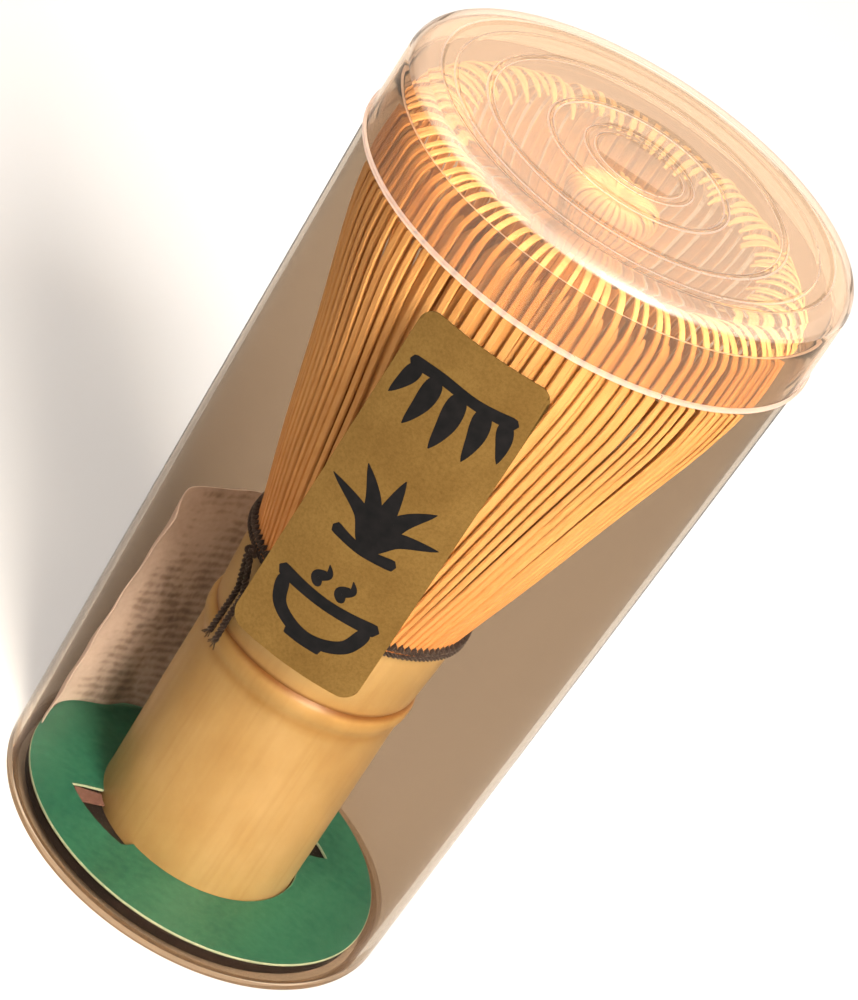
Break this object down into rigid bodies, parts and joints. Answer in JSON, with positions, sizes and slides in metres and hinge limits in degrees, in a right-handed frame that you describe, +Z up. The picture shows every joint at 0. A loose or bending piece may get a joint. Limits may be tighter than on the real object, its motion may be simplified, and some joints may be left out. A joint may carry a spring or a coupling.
{
  "type": "bamboo tea whisk",
  "caption": "Bamboo tea whisk with curled outer tines, gathered inner tines, a noded handle and a dark thread, standing in a clear round case with a lid.",
  "frame": {"origin": "middle of the case's underside", "axes": "+Z up along the case and the whisk, from foot to lid; the label faces -Y"},
  "size_m": [0.0652, 0.0652, 0.1206],
  "materials": {
    "clear_plastic": "clear moulded polystyrene, glossy",
    "clear_plastic_lid": "clear moulded polystyrene with turned rings, glossy",
    "gold_paper": "matt metallic gold paper with black print",
    "brown_pad": "dark fibre board",
    "green_card": "satin green card",
    "thin_paper": "thin translucent paper",
    "handle_bamboo": "smooth bamboo skin",
    "tine_bamboo": "split bamboo",
    "inner_bamboo": "split bamboo",
    "dark_thread": "twisted dark cotton thread"
  },
  "bodies": {
    "case": {"case_tube": "clear_plastic", "front_label": "gold_paper", "base_pad": "brown_pad", "base_card": "green_card", "leaflet": "thin_paper"},
    "whisk": {"whisk_handle": "handle_bamboo", "outer_tines_1": "tine_bamboo", "outer_tines_2": "tine_bamboo", "outer_tines_3": "tine_bamboo", "outer_tines_4": "tine_bamboo", "outer_tines_5": "tine_bamboo", "outer_tines_6": "tine_bamboo", "outer_tines_7": "tine_bamboo", "outer_tines_8": "tine_bamboo", "inner_tines": "inner_bamboo", "thread_round_lower": "dark_thread", "thread_round_upper": "dark_thread", "thread_knot": "dark_thread", "thread_tail_left": "dark_thread", "thread_tail_right": "dark_thread"},
    "lid": {"case_lid": "clear_plastic_lid"}
  },
  "joints": [
    {"name": "whisk_lift", "type": "slide", "parent": "case", "child": "whisk", "axis": [0, 0, 1], "range_m": [0, 0.125]},
    {"name": "lid_lift", "type": "slide", "parent": "whisk", "child": "lid", "axis": [0, 0, 1], "range_m": [0, 0.03]}
  ]
}
